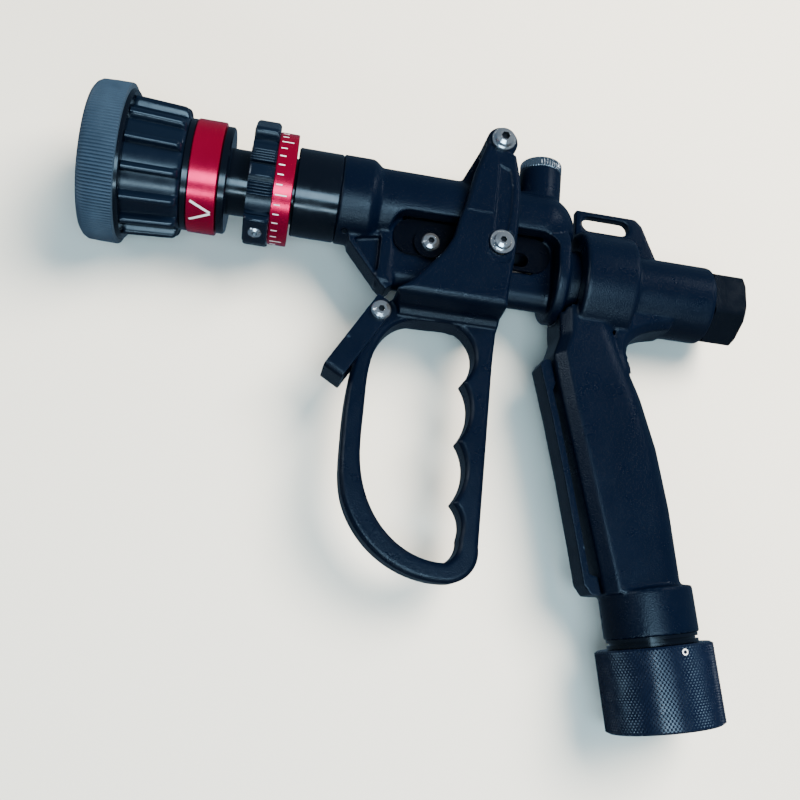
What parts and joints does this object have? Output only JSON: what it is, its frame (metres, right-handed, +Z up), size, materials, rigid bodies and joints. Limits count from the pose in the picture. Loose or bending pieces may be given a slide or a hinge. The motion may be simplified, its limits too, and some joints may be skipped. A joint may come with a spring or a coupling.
{
  "type": "fire hose nozzle",
  "caption": "Pistol-grip fire hose nozzle with a squeeze trigger valve, hold-open latch, turning spray-pattern sleeve, flow selector ring and swivel hose inlet.",
  "frame": {"origin": "centre of the mouth of the inlet coupling, where the hose tail screws in", "axes": "+X towards the back of the nozzle along the barrel (water leaves towards -X), +Y towards its top, +Z out of its left side; it lies on its right side, so +Z is up"},
  "size_m": [0.3425, 0.2945, 0.08],
  "materials": {
    "cast_black": "fine textured black coating on an aluminium casting",
    "anodised_black": "gloss black hard anodised, turned",
    "anodised_red": "bright red anodised, turned",
    "moulded_black": "satin moulded black",
    "bumper_rubber": "finely ribbed black rubber",
    "seal_rubber": "smooth nitrile rubber",
    "stainless": "plain stainless steel",
    "bright_aluminium": "bare knurled aluminium",
    "knurled_black": "black anodised, diamond knurled",
    "bronze": "machined bronze",
    "white_ptfe": "white packing"
  },
  "bodies": {
    "frame": {"barrel_body": "cast_black", "side_covers": "anodised_black", "cover_bosses": "cast_black", "cover_screws": "stainless", "collar_set_screw": "anodised_black", "cleaning_cap": "bright_aluminium", "front_tube": "anodised_black", "front_tube_oring": "seal_rubber", "neck_tube": "anodised_black", "neck_retainer": "stainless", "deflector_spider": "stainless", "deflector_stem": "stainless", "deflector_nut": "stainless", "deflector_head": "anodised_black", "valve_body": "cast_black", "grip_front_strip": "cast_black", "rear_hex_cap": "anodised_black", "rear_cap_oring": "seal_rubber", "valve_seat": "bronze", "gland_packing": "white_ptfe", "gland_nut": "bronze", "valve_spring": "stainless", "pivot_washers": "stainless", "pivot_bolt": "stainless", "pivot_nut": "stainless", "inlet_nipple": "anodised_black", "swivel_balls": "stainless"},
    "pattern_sleeve_group": {"pattern_sleeve": "moulded_black", "bumper_clamp_ring": "anodised_black", "rubber_bumper": "bumper_rubber", "front_lock_ring": "anodised_black", "pattern_scale_ring": "anodised_red", "rear_lock_ring": "anodised_black"},
    "flow_selector_group": {"flow_selector_ring": "moulded_black", "flow_grip_pads": "bumper_rubber", "flow_ring_screw": "stainless", "flow_scale_ring": "anodised_red"},
    "valve_group": {"poppet": "bronze", "valve_stem": "stainless", "poppet_nut": "stainless", "crosshead": "bronze", "crosshead_bolt": "stainless", "crosshead_nut": "stainless", "crosshead_washers": "stainless", "crosshead_bushes": "bronze"},
    "trigger": {"trigger_lever": "cast_black", "pivot_bushes": "bronze", "latch_screws": "stainless"},
    "latch": {"hold_open_latch": "cast_black"},
    "swivel": {"swivel_coupling": "knurled_black", "inlet_gasket": "seal_rubber"}
  },
  "joints": [
    {"name": "trigger_squeeze", "type": "hinge", "parent": "frame", "child": "trigger", "pos_m": [-0.10716, 0.28092, 0], "axis": [0, 0, 1], "range_deg": [0, 11], "stiffness_Nm_per_rad": 2, "springref_deg": -5.73},
    {"name": "valve_slide", "type": "slide", "parent": "frame", "child": "valve_group", "axis": [1, 0, 0], "range_m": [0, 0.0115], "deforming": ["valve_spring"]},
    {"name": "latch_swing", "type": "hinge", "parent": "trigger", "child": "latch", "pos_m": [-0.15917, 0.18432, 0], "axis": [0, 0, 1], "range_deg": [-110, 0]},
    {"name": "pattern_turn", "type": "hinge", "parent": "frame", "child": "pattern_sleeve_group", "pos_m": [-0.27916, 0.24632, 0], "axis": [1, 0, 0], "range_deg": [-90, 90]},
    {"name": "flow_turn", "type": "hinge", "parent": "frame", "child": "flow_selector_group", "pos_m": [-0.22517, 0.24632, 0], "axis": [1, 0, 0], "range_deg": [-60, 60]},
    {"name": "inlet_swivel", "type": "hinge", "parent": "frame", "child": "swivel", "pos_m": [0, 0, 0], "axis": [0.1961, -0.9806, 0], "continuous": true}
  ],
  "couplings": [
    {"joint": "valve_slide", "follows": "trigger_squeeze", "m_per_rad": 0.0588}
  ]
}
